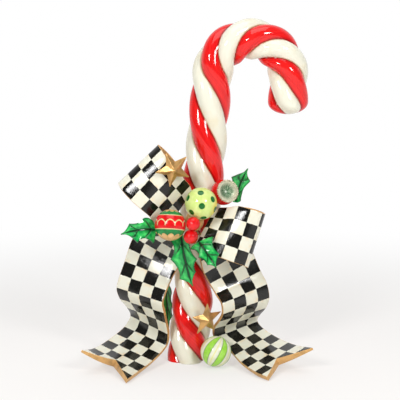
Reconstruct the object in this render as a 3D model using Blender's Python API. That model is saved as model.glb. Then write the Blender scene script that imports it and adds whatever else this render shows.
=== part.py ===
"""A decorative candy cane figurine: a twisted cane with a checked bow, holly, balls and stars.

Metres, +Z up. The cane leans a little to the right, the bow is on its front (-Y) side,
and the whole stands on the floor at z = 0, centred on the origin.
"""
import bisect
from math import cos, pi, radians, sin, sqrt

import bmesh
import bpy
from mathutils import Matrix, Vector

MM = 0.001
GAP = 0.3                       # free space between touching pieces, mm

# The cane: a straight shaft that leans to +X, a hook in the XZ plane and a short leg.
LEAN = radians(4.95)
SHAFT_LENGTH = 321.0            # along the leaning axis, mm
HOOK_RADIUS = 41.2
LEG_BOTTOM = 276.0              # height of the hook's rounded end
CANE_RADIUS_BASE = 22.9
CANE_RADIUS_TIP = 22.0
LOBE_OFFSET = 0.42              # centre of each of the four strands, as a share of the radius
CAP_LENGTH = 15.0
CAP_FULLNESS = 2.6              # 2 is a plain ellipse, more is blunter
STRANDS = 4
# Length along the cane that each strand takes for a quarter turn: (distance, length), mm.
STRAND_RUN = (
    (0, 29), (50, 31), (120, 34), (220, 39), (280, 45), (321, 34), (350, 28), (430, 28), (462, 38),
)
RED_STARTS_AT = 20.0            # where a red strand's lower edge crosses the front

# Ribbon: four squares of about 14.9 mm wide, and as thick as cast resin.
RIBBON_THICK = 3.2
LOOP_THICK = 3.2
NOTCH_THICK = 8.5               # the tails grow thicker towards the notch in their ends
OUTER_TIP, INNER_TIP = 2.6, 5.0
THICKER_FROM, THICKER_BY = 0.75, 0.95      # shares of a tail's length
THINNEST = 2.0
NOTCH_DEPTH = 1.75              # depth of the swallow-tail cut, in squares
NOTCH_ROW = 12.1
RIBBON_ROWS, RIBBON_COLUMNS = 27, 4        # faces along and across

# Stations of a ribbon: (row in squares, one edge, other edge), mm.
TAIL_LEFT = (
    (-2.0, (-35, -22, 149), (-6, -35, 136)),
    (-1.0, (-48.5, -11, 147.5), (-6.5, -28, 126)),
    (0.0, (-59.5, -5, 140.5), (-8, -24, 115)),
    (2.0, (-69.5, -6, 113.5), (-17.5, -28, 98)),
    (4.0, (-78.6, -7.5, 84), (-26.8, -38.5, 75)),
    (5.0, (-75.5, -2, 69.5), (-25.2, -33.5, 61.5)),
    (6.0, (-68.5, 7, 57.5), (-23.4, -27, 48.5)),
    (7.0, (-65, 14.5, 46), (-21.5, -22, 34.5)),
    (8.0, (-71.5, 10.5, 34.5), (-23.5, -19, 21)),
    (10.0, (-88.5, -13, 25.5), (-37.8, -41, 10)),
    (12.0, (-101.5, -40, 24), (-51.7, -66.5, 6)),
    (13.9, (-113.3, -61.5, 28), (-62.3, -93.5, 5.2)),
)
TAIL_RIGHT = (
    (-2.6, (8, -38, 147), (32, -25, 157)),
    (-1.2, (14.5, -33, 122), (57, -13, 143)),
    (0.0, (19, -28.5, 104.5), (69, -6, 130)),
    (2.0, (31.5, -28, 82), (81.6, -3.5, 102)),
    (3.0, (38, -37, 73), (88.8, -5.5, 87.5)),
    (4.0, (39.2, -33, 60), (91.5, -4.5, 71.5)),
    (5.0, (35.4, -24.5, 49.5), (88, 2, 58)),
    (6.0, (30, -16, 39), (82, 11.5, 47.5)),
    (7.0, (31, -9, 27), (79.8, 20.5, 38)),
    (8.0, (45, -15.5, 17.5), (86.5, 12.5, 31.5)),
    (10.0, (58.5, -42, 9), (103.7, -10.5, 26)),
    (12.0, (72.8, -66.5, 5.6), (120, -35.5, 26)),
    (13.7, (84, -83, 5.2), (134, -57, 29.5)),
)
# Loops run from the knot along the front, round the fold and back behind.
LOOP_LEFT = (
    (0.0, (6, -29.5, 194), (-24, -36, 153)),
    (1.0, (3.5, -34, 202), (-33.7, -39.5, 161.5)),
    (2.0, (-2.5, -39.5, 210), (-39.2, -48, 170.5)),
    (3.0, (-10.5, -44.5, 220), (-49, -53, 180)),
    (4.0, (-19.5, -46.5, 231.8), (-59.6, -52, 189.5)),
    (5.0, (-27, -40.5, 241.6), (-69.4, -47, 199.8)),
    (5.7, (-30.6, -31, 246), (-73.6, -37, 205.5)),
    (6.4, (-28, -20, 243), (-70.5, -26, 201.5)),
    (7.6, (-18, -14, 232), (-58, -20.5, 189)),
    (9.0, (-9, -16, 219), (-44, -24, 174.5)),
    (10.4, (-7.5, -21.5, 203), (-27, -27, 160)),
)
LOOP_RIGHT = (
    (0.0, (30, -29, 177), (8, -50, 139)),
    (1.0, (35, -31, 178), (12, -52.5, 137.7)),
    (2.0, (43.4, -37, 179.2), (23.2, -57, 132.5)),
    (3.0, (55.2, -43.5, 181.6), (36.4, -61, 128.9)),
    (4.0, (68.4, -48.5, 179), (49.8, -60.5, 123.6)),
    (5.0, (80.8, -45.5, 174.3), (61.6, -54.5, 118.4)),
    (5.6, (84.4, -37, 172), (66, -45.5, 114.6)),
    (6.2, (80, -29, 173.5), (62.5, -37, 117)),
    (7.4, (64, -27, 177.5), (48, -33.5, 122.5)),
    (8.8, (46, -25.5, 177), (31, -34.5, 130)),
    (10.0, (35.5, -24.5, 175.5), (21, -36.5, 138)),
)

KNOT_CENTRE, KNOT_SIZE = (7.5, -33, 163), (10.5, 8.5, 12)  # half sizes

# Balls: centre and radius, mm.
DOTTED_BALL = ((15.2, -50.5, 185.4), 17.3)
BANDED_BALL = ((-17.3, -58.5, 163.7), 16.7)
REFLECTOR_BALL = ((39.2, -31.5, 194.4), 13.7)
SWIRL_BALL = ((31.6, -29.5, 17.1), 17.1)
BERRIES = (((6.9, -64.0, 166.0), 7.4), ((4.4, -58.0, 151.0), 7.8))
DISH_AXIS = (0.37, -0.89, 0.26)
DISH_RADIUS, DISH_OFFSET, DISH_DEPTH = 10.9, 11.6, 6.5     # offset of the rim from the centre
DISH_LIP = 1.4                  # ball left round the recess
DISH_RIM = 2.2                  # width of the dish's own rim
RIM_HEIGHT = 0.8                # of the dish's rim over the ball's lip
RIM_SEAT = 1.2                  # depth of the recess where its cone starts

# Stars: centre, radius, height of the middle, first point's angle and the way it faces.
STAR_WAIST = 0.44               # inner corners, as a share of the radius
STAR_BACK = 0.4                 # height of the back's middle, as a share of the front's
STARS = {
    "star_upper": ((-14, -54.0, 222.4), 20.6, 6.5, 44.5, (0.22, -0.96, -0.16)),
    "star_lower": ((21.2, -33.0, 54.5), 20.0, 6.5, 93.0, (0.5, -0.84, -0.18)),
}

# Leaves: root, middle and tip of the midrib, the way its face looks, and the spines on each
# side as (share of the length, half width in mm).
LEAF_THICK = 2.6
LEAVES = {
    "holly_leaf_left": dict(
        rib=((-33, -50, 157), (-49, -61, 161), (-69.6, -62, 154.3)), face=(0.05, -0.95, 0.25),
        left=((0.12, 14.5), (0.63, 13.0)), right=((0.36, 12.0), (0.73, 8.5))),
    "holly_leaf_middle": dict(
        rib=((-6, -46, 150), (-3, -53, 124), (6.2, -44, 93.8)), face=(-0.12, -0.98, 0.1),
        left=((0.12, 8), (0.5, 13.0), (0.74, 8.0)), right=((0.1, 11), (0.42, 15.5), (0.8, 11.0))),
    "holly_leaf_right": dict(
        rib=((13, -57, 145), (20.5, -69, 137), (31.5, -70, 120)), face=(0.18, -0.93, 0.3),
        left=((0.14, 15.5), (0.72, 11.0)), right=((0.14, 11.5), (0.48, 10.5), (0.8, 7.0))),
    "holly_leaf_back": dict(
        rib=((53, -9, 180), (57, -9, 203), (66.3, -15, 217.8)), face=(0.3, -0.95, 0.0),
        left=((0.1, 6), (0.62, 13.0)), right=((0.1, 5), (0.66, 9.0))),
    "holly_leaf_rear": dict(
        rib=((-25, 20, 84), (-23, 24, 58), (-22, 20, 30)), face=(-0.5, -0.85, 0.1),
        left=((0.25, 7), (0.5, 8.5), (0.75, 6.0)), right=((0.25, 7), (0.5, 8.5), (0.75, 6.0))),
}

COLOURS = {
    "cane": ((0.80, 0.02, 0.02), 0.12, 0.0),
    "ribbon": ((0.82, 0.79, 0.66), 0.15, 0.0),
    "gold": ((0.68, 0.42, 0.16), 0.35, 0.8),
    "holly": ((0.01, 0.33, 0.08), 0.15, 0.0),
    "red": ((0.80, 0.01, 0.02), 0.10, 0.0),
    "lime": ((0.60, 0.75, 0.22), 0.12, 0.0),
    "silver": ((0.62, 0.66, 0.58), 0.25, 0.9),
}


def material(name):
    """One finish by its name in COLOURS."""
    made = bpy.data.materials.get(name)
    if made:
        return made
    colour, roughness, metallic = COLOURS[name]
    made = bpy.data.materials.new(name)
    made.use_nodes = True
    shader = made.node_tree.nodes["Principled BSDF"]
    shader.inputs["Base Color"].default_value = (*colour, 1.0)
    shader.inputs["Roughness"].default_value = roughness
    shader.inputs["Metallic"].default_value = metallic
    return made


def add_object(name, points, faces, finish, smooth_angle=40.0):
    """A mesh object from points in mm."""
    mesh = bpy.data.meshes.new(name)
    mesh.from_pydata([tuple(Vector(p) * MM) for p in points], [], faces)
    mesh.validate()
    shape = bmesh.new()
    shape.from_mesh(mesh)
    bmesh.ops.remove_doubles(shape, verts=shape.verts, dist=0.00001)
    bmesh.ops.recalc_face_normals(shape, faces=shape.faces)
    shape.to_mesh(mesh)
    shape.free()
    mesh.shade_smooth()
    mesh.set_sharp_from_angle(angle=radians(smooth_angle))
    mesh.materials.append(material(finish))
    thing = bpy.data.objects.new(name, mesh)
    bpy.context.collection.objects.link(thing)
    return thing


def loft(rings, close_start=True, close_end=True):
    """Points and faces of closed rings joined end to end."""
    count = len(rings[0])
    points = [p for ring in rings for p in ring]
    faces = []
    for row in range(len(rings) - 1):
        for i in range(count):
            a, b = row * count + i, row * count + (i + 1) % count
            faces.append((a, b, b + count, a + count))
    if close_start:
        faces.append(tuple(reversed(range(count))))
    if close_end:
        faces.append(tuple((len(rings) - 1) * count + i for i in range(count)))
    return points, faces


def slab(front, back):
    """Points and faces of a sheet between two grids of the same size."""
    rows, cols = len(front), len(front[0])
    points = [p for row in front for p in row] + [p for row in back for p in row]
    shift = rows * cols
    faces = []
    for r in range(rows - 1):
        for c in range(cols - 1):
            a = r * cols + c
            faces.append((a, a + 1, a + cols + 1, a + cols))
            faces.append((a + shift, a + shift + cols, a + shift + cols + 1, a + shift + 1))
    rim = [c for c in range(cols)]
    rim += [r * cols + cols - 1 for r in range(1, rows)]
    rim += [(rows - 1) * cols + c for c in range(cols - 2, -1, -1)]
    rim += [r * cols for r in range(rows - 2, 0, -1)]
    for a, b in zip(rim, rim[1:] + rim[:1]):
        faces.append((a, a + shift, b + shift, b))
    return points, faces


def smooth_path(stations, at):
    """Catmull-Rom position at a parameter, through (parameter, position) stations."""
    keys = [key for key, _ in stations]
    i = min(max(bisect.bisect_right(keys, at) - 1, 0), len(keys) - 2)
    k0, k1 = keys[i], keys[i + 1]
    p0, p1 = stations[i][1], stations[i + 1][1]

    def slope(j):
        low, high = max(j - 1, 0), min(j + 1, len(keys) - 1)
        return (stations[high][1] - stations[low][1]) / (keys[high] - keys[low])
    span = k1 - k0
    t = (at - k0) / span
    m0, m1 = slope(i) * span, slope(i + 1) * span
    return (p0 * (2 * t**3 - 3 * t**2 + 1) + m0 * (t**3 - 2 * t**2 + t)
            + p1 * (3 * t**2 - 2 * t**3) + m1 * (t**3 - t**2))


# ---------------------------------------------------------------- cane

def run_at(distance):
    """Length of a strand's quarter turn at a distance along the cane."""
    keys = [key for key, _ in STRAND_RUN]
    i = min(max(bisect.bisect_right(keys, distance) - 1, 0), len(keys) - 2)
    (k0, r0), (k1, r1) = STRAND_RUN[i], STRAND_RUN[i + 1]
    t = min(max((distance - k0) / (k1 - k0), 0.0), 1.0)
    return r0 + (r1 - r0) * (3 * t * t - 2 * t**3)


def strand_turns(distance):
    """Strands passed at the front from the base up to a distance along the cane."""
    steps = 200
    step = distance / steps
    return sum(step / run_at(step * (k + 0.5)) for k in range(steps))


def hook_centre():
    """Middle of the hook's round part."""
    along, across = Vector((sin(LEAN), 0, cos(LEAN))), Vector((cos(LEAN), 0, -sin(LEAN)))
    return along * SHAFT_LENGTH + across * HOOK_RADIUS


def cane_length():
    """Length of the axis from the base to the tip."""
    return SHAFT_LENGTH + HOOK_RADIUS * (pi - LEAN) + hook_centre().z - LEG_BOTTOM


def cane_point(distance):
    """Centre and direction of the cane at a distance from the base."""
    along = Vector((sin(LEAN), 0, cos(LEAN)))
    if distance <= SHAFT_LENGTH:
        return along * distance, along
    centre = hook_centre()
    turn = (distance - SHAFT_LENGTH) / HOOK_RADIUS
    if turn <= pi - LEAN:
        angle = pi - LEAN - turn
        radial = Vector((cos(angle), 0, sin(angle)))
        return centre + radial * HOOK_RADIUS, Vector((sin(angle), 0, -cos(angle)))
    down = distance - SHAFT_LENGTH - HOOK_RADIUS * (pi - LEAN)
    return centre + Vector((HOOK_RADIUS, 0, -down)), Vector((0, 0, -1))


def lobe(share):
    """Radius of the four-strand section, as a share, at a place across one strand."""
    angle = (share - 0.5) * pi / 2
    bulge = 1 - LOBE_OFFSET
    return LOBE_OFFSET * cos(angle) + sqrt(bulge**2 - (LOBE_OFFSET * sin(angle))**2)


def cane_ring(distance, per_strand, radius):
    """One closed ring of the twisted section, with its corners on the grooves."""
    centre, along = cane_point(distance)
    front = Vector((0, -1, 0))
    side = along.cross(front).normalized()
    turned = strand_turns(distance) - strand_turns(RED_STARTS_AT)
    ring = []
    for k in range(STRANDS * per_strand):
        place = k / per_strand
        angle = (place - turned) * pi / 2
        reach = radius * lobe(place % 1.0)
        ring.append(centre + (front * cos(angle) + side * sin(angle)) * reach)
    return ring


def cane_radius(distance):
    """Radius to the strands' crests: a slight taper, then the rounded tip."""
    length = cane_length()
    radius = CANE_RADIUS_BASE + (CANE_RADIUS_TIP - CANE_RADIUS_BASE) * distance / length
    left = length - distance
    if left < CAP_LENGTH:
        radius *= sqrt(max(1 - (1 - left / CAP_LENGTH) ** CAP_FULLNESS, 0.0))
    return radius


def make_cane():
    """The twisted cane: a flat base, four bulging strands and a blunt tip."""
    length = cane_length()
    shaft_rows, cap_rows, per_strand = 64, 5, 5
    stops = [(length - CAP_LENGTH) * k / shaft_rows for k in range(shaft_rows + 1)]
    stops += [length - CAP_LENGTH * (1 - k / cap_rows) ** 1.7 for k in range(1, cap_rows)]
    rings = [cane_ring(s, per_strand, cane_radius(s)) for s in stops]
    rings[0] = [Vector((p.x, p.y, 0)) for p in rings[0]]
    rings.append([cane_point(length)[0]] * len(rings[0]))
    points, faces = loft(rings, close_end=False)
    return add_object("candy_cane", points, faces, "cane", 25.0)


# ---------------------------------------------------------------- ribbon

def ribbon_grid(stations, rows, columns, end_row=None):
    """Front surface of a ribbon; end_row(across) gives where each column ends."""
    left = [(row, Vector(a)) for row, a, _ in stations]
    right = [(row, Vector(b)) for row, _, b in stations]
    start, last_full = stations[0][0], stations[-1][0]
    grid = []
    for k in range(rows + 1):
        share = k / rows
        line = []
        for c in range(columns + 1):
            across = c / columns
            end = end_row(across) if end_row else last_full
            row = start + (end - start) * share
            line.append(smooth_path(left, row).lerp(smooth_path(right, row), across))
        grid.append(line)
    return grid


def thicken(grid, thick, side):
    """A second grid behind the first, at a thickness that may change from row to row."""
    rows, cols = len(grid), len(grid[0])
    back = []
    for r in range(rows):
        line = []
        for c in range(cols):
            down = grid[min(r + 1, rows - 1)][c] - grid[max(r - 1, 0)][c]
            over = grid[r][min(c + 1, cols - 1)] - grid[r][max(c - 1, 0)]
            normal = down.cross(over).normalized()
            line.append(grid[r][c] + normal * side * thick(r / (rows - 1), c / (cols - 1)))
        back.append(line)
    return back


def swallow_tail(across):
    """Row at which a tail ends, for a V-shaped notch."""
    return NOTCH_ROW + NOTCH_DEPTH * abs(2 * across - 1)


def tail_thickness(share, inward):
    """Thickness at a share of a tail's length and of its width from the outer edge."""
    blend = min(max((share - THICKER_FROM) / (THICKER_BY - THICKER_FROM), 0.0), 1.0)
    blend = blend * blend * (3 - 2 * blend)
    tip = OUTER_TIP + (INNER_TIP - OUTER_TIP) * inward
    end = tip + (NOTCH_THICK - tip) * (1 - abs(2 * inward - 1))
    return RIBBON_THICK + (end - RIBBON_THICK) * blend


def make_tail(name, stations, outer_first):
    """A ribbon tail that hangs, folds and lies out on the floor."""
    grid = ribbon_grid(stations, RIBBON_ROWS, RIBBON_COLUMNS, swallow_tail)

    def thick(share, across):
        return tail_thickness(share, across if outer_first else 1 - across)
    back = thicken(grid, thick, -1)
    for line, behind in zip(grid, back):
        for c, point in enumerate(behind):
            point.z = max(point.z, 0.0)
            line[c].z = max(line[c].z, point.z + THINNEST)
    points, faces = slab(grid, back)
    return add_object(name, points, faces, "ribbon", 50.0)


def make_loop(name, stations, inward):
    """A bow loop; inward is the side of the surface that its inside is on."""
    grid = ribbon_grid(stations, RIBBON_ROWS, RIBBON_COLUMNS)
    points, faces = slab(grid, thicken(grid, lambda *_: LOOP_THICK, inward))
    return add_object(name, points, faces, "ribbon", 50.0)


# ---------------------------------------------------------------- balls, knot and stars

def turned_rings(centre, outline, around, axis=(0, 0, 1)):
    """Rings of an outline of (radius, height) points turned about an axis."""
    turn = Vector((0, 0, 1)).rotation_difference(Vector(axis).normalized())
    rings = []
    for reach, height in outline:
        ring = []
        for k in range(around):
            angle = 2 * pi * k / around
            ring.append(Vector(centre) + turn @ Vector((reach * cos(angle), reach * sin(angle), height)))
        rings.append(ring)
    return rings


def make_ball(name, ball, finish, rows=13, around=20):
    """A round ball."""
    centre, radius = ball
    outline = [(radius * sin(pi * k / rows), -radius * cos(pi * k / rows)) for k in range(rows + 1)]
    points, faces = loft(turned_rings(centre, outline, around), False, False)
    return add_object(name, points, faces, finish)


def cone(radius, top, depth, shares):
    """Outline points of a cone whose tip is depth below its edge at height top."""
    return [(radius * t, top - depth * (1 - t)) for t in shares]


def recess_outline():
    """The red ball with its front opened by a round recess, from back to front."""
    radius = REFLECTOR_BALL[1]
    outer, inner = DISH_RADIUS + DISH_LIP, DISH_RADIUS + GAP
    outline = [(radius * sin(pi * k / 12), -radius * cos(pi * k / 12)) for k in range(9)]
    outline += [(outer, DISH_OFFSET - 2.5), (outer, DISH_OFFSET)]
    outline += [(inner, DISH_OFFSET), (inner, DISH_OFFSET - RIM_SEAT)]
    return outline + cone(inner, DISH_OFFSET - RIM_SEAT, DISH_DEPTH + RIM_SEAT, (0.6, 0.3, 0.0))


def dish_outline():
    """The concave reflector, from the middle of its back to the middle of its front."""
    back_top = DISH_OFFSET - RIM_SEAT + 1.6 * GAP
    inner = DISH_RADIUS - DISH_RIM
    outline = cone(DISH_RADIUS, back_top, DISH_DEPTH + RIM_SEAT, (0.0, 0.3, 0.6, 0.985))
    outline += [(DISH_RADIUS, DISH_OFFSET - 0.4), (DISH_RADIUS, DISH_OFFSET + RIM_HEIGHT)]
    outline += [(inner + 0.6, DISH_OFFSET + RIM_HEIGHT), (inner, DISH_OFFSET - 0.2)]
    return outline + cone(inner, DISH_OFFSET - 0.2, DISH_DEPTH - 1.4, (0.6, 0.3, 0.0))


def make_turned(name, outline, finish):
    """A shape turned about the reflector's axis."""
    points, faces = loft(turned_rings(REFLECTOR_BALL[0], outline, 20, DISH_AXIS), False, False)
    return add_object(name, points, faces, finish)


def make_star(name, star):
    """A five-pointed star with a raised middle on both faces."""
    centre, radius, half_thick, first, facing = star
    normal = Vector(facing).normalized()
    side = Vector((0, 0, 1)).cross(normal).normalized()
    up = normal.cross(side)
    points = [Vector(centre) + normal * half_thick, Vector(centre) - normal * half_thick * STAR_BACK]
    for k in range(10):
        angle = radians(first + 36 * k)
        reach = radius * (STAR_WAIST if k % 2 else 1)
        points.append(Vector(centre) + (side * cos(angle) + up * sin(angle)) * reach)
    faces = []
    for k in range(10):
        a, b = 2 + k, 2 + (k + 1) % 10
        faces += [(0, a, b), (1, b, a)]
    return add_object(name, points, faces, "gold", 5.0)


def make_knot():
    """A rounded knot behind the ornaments."""
    across, deep, high = KNOT_SIZE
    rows = 12
    outline = [(across * sin(pi * k / rows), -high * cos(pi * k / rows)) for k in range(rows + 1)]
    points, faces = loft(turned_rings((0, 0, 0), outline, 20), False, False)
    centre = Vector(KNOT_CENTRE)
    points = [centre + Vector((p.x, p.y * deep / across, p.z)) for p in points]
    return add_object("bow_knot", points, faces, "gold")


# ---------------------------------------------------------------- holly

def spiny_edge(spines, share):
    """Half width of a leaf at a share of its length: hollow between sharp spines."""
    stops = [(0.0, 2.5)] + list(spines) + [(1.0, 0.25)]
    for (a, wa), (b, wb) in zip(stops, stops[1:]):
        if share <= b:
            t = (share - a) / (b - a)
            hollow = 0.34 * min(wa, wb) if b < 1.0 else 0.22 * wa
            if a == 0.0:
                hollow = -0.3 * wb
            return wa + (wb - wa) * t - hollow * 4 * t * (1 - t)
    return 0.25


def make_leaf(name, leaf):
    """A holly leaf with a creased midrib and spined edges."""
    rib = [Vector(p) for p in leaf["rib"]]
    face = Vector(leaf["face"]).normalized()
    stops = sorted({0.0, 1.0} | {s for s, _ in leaf["left"]} | {s for s, _ in leaf["right"]})
    shares = []
    for a, b in zip(stops, stops[1:]):
        parts = max(1, round((b - a) / 0.08))
        shares += [a + (b - a) * k / parts for k in range(parts)]
    shares.append(1.0)
    grid = []
    for share in shares:
        middle = rib[0] * (1 - share)**2 + rib[1] * 2 * share * (1 - share) + rib[2] * share**2
        along = ((rib[1] - rib[0]) * (1 - share) + (rib[2] - rib[1]) * share).normalized()
        side = along.cross(face).normalized()
        normal = side.cross(along)
        line = []
        for c in (-2, -1, 0, 1, 2):
            spines = leaf["left"] if c < 0 else leaf["right"]
            width = spiny_edge(spines, share) * c / 2
            crease = 0.30 * abs(width) - 0.012 * width * width
            line.append(middle + side * width + normal * crease)
        grid.append(line)
    back = []
    for share, line in zip(shares, grid):
        thick = LEAF_THICK * (0.45 + 0.55 * min(1.0, (1 - share) * 4))
        back.append([p - face * thick * (1.0 if 0 < c < 4 else 0.7) for c, p in enumerate(line)])
    points, faces = slab(grid, back)
    return add_object(name, points, faces, "holly", 50.0)


# ---------------------------------------------------------------- assembly

def clear_scene():
    """Remove every object."""
    for thing in list(bpy.data.objects):
        bpy.data.objects.remove(thing, do_unlink=True)


def stand_on_origin(things):
    """Move everything so that the middle of the whole footprint is the origin."""
    corners = [vertex.co for thing in things for vertex in thing.data.vertices]
    low = Vector([min(c[i] for c in corners) for i in range(3)])
    high = Vector([max(c[i] for c in corners) for i in range(3)])
    shift = Matrix.Translation(Vector((-(low.x + high.x) / 2, -(low.y + high.y) / 2, -low.z)))
    for thing in things:
        thing.data.transform(shift)


def main():
    clear_scene()
    make_cane()
    make_knot()
    make_tail("bow_tail_left", TAIL_LEFT, True)
    make_tail("bow_tail_right", TAIL_RIGHT, False)
    make_loop("bow_loop_left", LOOP_LEFT, -1)
    make_loop("bow_loop_right", LOOP_RIGHT, 1)
    make_ball("dotted_ball", DOTTED_BALL, "lime")
    make_ball("banded_ball", BANDED_BALL, "red")
    make_ball("swirl_ball", SWIRL_BALL, "lime")
    for number, berry in enumerate(BERRIES, 1):
        make_ball("berry_%d" % number, berry, "red", 10, 16)
    make_turned("reflector_ball", recess_outline(), "red")
    make_turned("reflector_dish", dish_outline(), "silver")
    for name, star in STARS.items():
        make_star(name, star)
    for name, leaf in LEAVES.items():
        make_leaf(name, leaf)
    stand_on_origin([thing for thing in bpy.data.objects if thing.type == "MESH"])


main()
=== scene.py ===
"""The finished look of a candy cane figurine: painted resin with a checked bow, holly and balls."""
import bisect
from math import cos, pi, radians, sin, sqrt, tau

import bpy
from mathutils import Matrix, Vector


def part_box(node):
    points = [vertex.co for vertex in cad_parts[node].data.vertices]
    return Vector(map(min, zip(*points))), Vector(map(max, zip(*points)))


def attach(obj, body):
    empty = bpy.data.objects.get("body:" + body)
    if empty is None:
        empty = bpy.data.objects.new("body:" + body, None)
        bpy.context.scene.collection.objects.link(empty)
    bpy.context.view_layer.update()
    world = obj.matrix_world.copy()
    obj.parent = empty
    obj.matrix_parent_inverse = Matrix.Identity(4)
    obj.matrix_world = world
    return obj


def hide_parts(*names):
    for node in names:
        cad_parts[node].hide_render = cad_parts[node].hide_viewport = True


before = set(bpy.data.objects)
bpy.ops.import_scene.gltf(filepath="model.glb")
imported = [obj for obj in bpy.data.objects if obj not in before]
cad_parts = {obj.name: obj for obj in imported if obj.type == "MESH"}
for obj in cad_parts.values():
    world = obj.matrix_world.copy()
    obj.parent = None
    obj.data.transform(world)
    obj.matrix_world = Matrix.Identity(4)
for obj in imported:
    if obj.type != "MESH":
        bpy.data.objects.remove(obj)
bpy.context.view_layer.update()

bl_info = {
    "name": "Candy Cane Figurine",
    "version": (1, 0, 0),
    "blender": (4, 5, 0),
    "location": "View3D > Sidebar > Figurine",
    "description": "Builds the painted pieces of a candy cane figurine",
    "category": "Add Mesh",
}

MM = 0.001

# The cane: a leaning shaft, a hook and a short leg, four strands round.
LEAN = radians(4.95)
SHAFT_LENGTH = 321.0
HOOK_RADIUS = 41.2
LEG_BOTTOM = 276.0
CANE_RADIUS_BASE = 22.9
CANE_RADIUS_TIP = 22.0
LOBE_OFFSET = 0.42
CAP_LENGTH = 15.0
CAP_FULLNESS = 2.6
STRANDS = 4
STRAND_RUN = (
    (0, 29), (50, 31), (120, 34), (220, 39), (280, 45), (321, 34), (350, 28), (430, 28), (462, 38),
)
RED_STARTS_AT = 20.0

# Ribbon: four squares wide.
RIBBON_THICK = 3.2
LOOP_THICK = 3.2
NOTCH_THICK = 8.5
OUTER_TIP, INNER_TIP = 2.6, 5.0
THICKER_FROM, THICKER_BY = 0.75, 0.95
NOTCH_DEPTH = 1.75
NOTCH_ROW = 12.1
SQUARES = 4

# Stations of a ribbon: (row in squares, one edge, other edge), mm.
TAIL_LEFT = (
    (-2.0, (-35, -22, 149), (-6, -35, 136)),
    (-1.0, (-48.5, -11, 147.5), (-6.5, -28, 126)),
    (0.0, (-59.5, -5, 140.5), (-8, -24, 115)),
    (2.0, (-69.5, -6, 113.5), (-17.5, -28, 98)),
    (4.0, (-78.6, -7.5, 84), (-26.8, -38.5, 75)),
    (5.0, (-75.5, -2, 69.5), (-25.2, -33.5, 61.5)),
    (6.0, (-68.5, 7, 57.5), (-23.4, -27, 48.5)),
    (7.0, (-65, 14.5, 46), (-21.5, -22, 34.5)),
    (8.0, (-71.5, 10.5, 34.5), (-23.5, -19, 21)),
    (10.0, (-88.5, -13, 25.5), (-37.8, -41, 10)),
    (12.0, (-101.5, -40, 24), (-51.7, -66.5, 6)),
    (13.9, (-113.3, -61.5, 28), (-62.3, -93.5, 5.2)),
)
TAIL_RIGHT = (
    (-2.6, (8, -38, 147), (32, -25, 157)),
    (-1.2, (14.5, -33, 122), (57, -13, 143)),
    (0.0, (19, -28.5, 104.5), (69, -6, 130)),
    (2.0, (31.5, -28, 82), (81.6, -3.5, 102)),
    (3.0, (38, -37, 73), (88.8, -5.5, 87.5)),
    (4.0, (39.2, -33, 60), (91.5, -4.5, 71.5)),
    (5.0, (35.4, -24.5, 49.5), (88, 2, 58)),
    (6.0, (30, -16, 39), (82, 11.5, 47.5)),
    (7.0, (31, -9, 27), (79.8, 20.5, 38)),
    (8.0, (45, -15.5, 17.5), (86.5, 12.5, 31.5)),
    (10.0, (58.5, -42, 9), (103.7, -10.5, 26)),
    (12.0, (72.8, -66.5, 5.6), (120, -35.5, 26)),
    (13.7, (84, -83, 5.2), (134, -57, 29.5)),
)
LOOP_LEFT = (
    (0.0, (6, -29.5, 194), (-24, -36, 153)),
    (1.0, (3.5, -34, 202), (-33.7, -39.5, 161.5)),
    (2.0, (-2.5, -39.5, 210), (-39.2, -48, 170.5)),
    (3.0, (-10.5, -44.5, 220), (-49, -53, 180)),
    (4.0, (-19.5, -46.5, 231.8), (-59.6, -52, 189.5)),
    (5.0, (-27, -40.5, 241.6), (-69.4, -47, 199.8)),
    (5.7, (-30.6, -31, 246), (-73.6, -37, 205.5)),
    (6.4, (-28, -20, 243), (-70.5, -26, 201.5)),
    (7.6, (-18, -14, 232), (-58, -20.5, 189)),
    (9.0, (-9, -16, 219), (-44, -24, 174.5)),
    (10.4, (-7.5, -21.5, 203), (-27, -27, 160)),
)
LOOP_RIGHT = (
    (0.0, (30, -29, 177), (8, -50, 139)),
    (1.0, (35, -31, 178), (12, -52.5, 137.7)),
    (2.0, (43.4, -37, 179.2), (23.2, -57, 132.5)),
    (3.0, (55.2, -43.5, 181.6), (36.4, -61, 128.9)),
    (4.0, (68.4, -48.5, 179), (49.8, -60.5, 123.6)),
    (5.0, (80.8, -45.5, 174.3), (61.6, -54.5, 118.4)),
    (5.6, (84.4, -37, 172), (66, -45.5, 114.6)),
    (6.2, (80, -29, 173.5), (62.5, -37, 117)),
    (7.4, (64, -27, 177.5), (48, -33.5, 122.5)),
    (8.8, (46, -25.5, 177), (31, -34.5, 130)),
    (10.0, (35.5, -24.5, 175.5), (21, -36.5, 138)),
)

KNOT_CENTRE, KNOT_SIZE = (7.5, -33, 163), (10.5, 8.5, 12)
DOTTED_BALL = ((15.2, -50.5, 185.4), 17.3)
BANDED_BALL = ((-17.3, -58.5, 163.7), 16.7)
REFLECTOR_BALL = ((39.2, -31.5, 194.4), 13.7)
SWIRL_BALL = ((31.6, -29.5, 17.1), 17.1)
BERRIES = (((6.9, -64.0, 166.0), 7.4), ((4.4, -58.0, 151.0), 7.8))
DISH_AXIS = (0.37, -0.89, 0.26)
DISH_RADIUS, DISH_OFFSET, DISH_DEPTH = 10.9, 11.6, 6.5
DISH_LIP, DISH_RIM, RIM_HEIGHT, RIM_SEAT = 1.4, 2.2, 0.8, 1.2
GAP = 0.3

STAR_WAIST = 0.44
STAR_BACK = 0.4
STARS = {
    "star_upper": ((-14, -54.0, 222.4), 20.6, 6.5, 44.5, (0.22, -0.96, -0.16)),
    "star_lower": ((21.2, -33.0, 54.5), 20.0, 6.5, 93.0, (0.5, -0.84, -0.18)),
}

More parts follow.
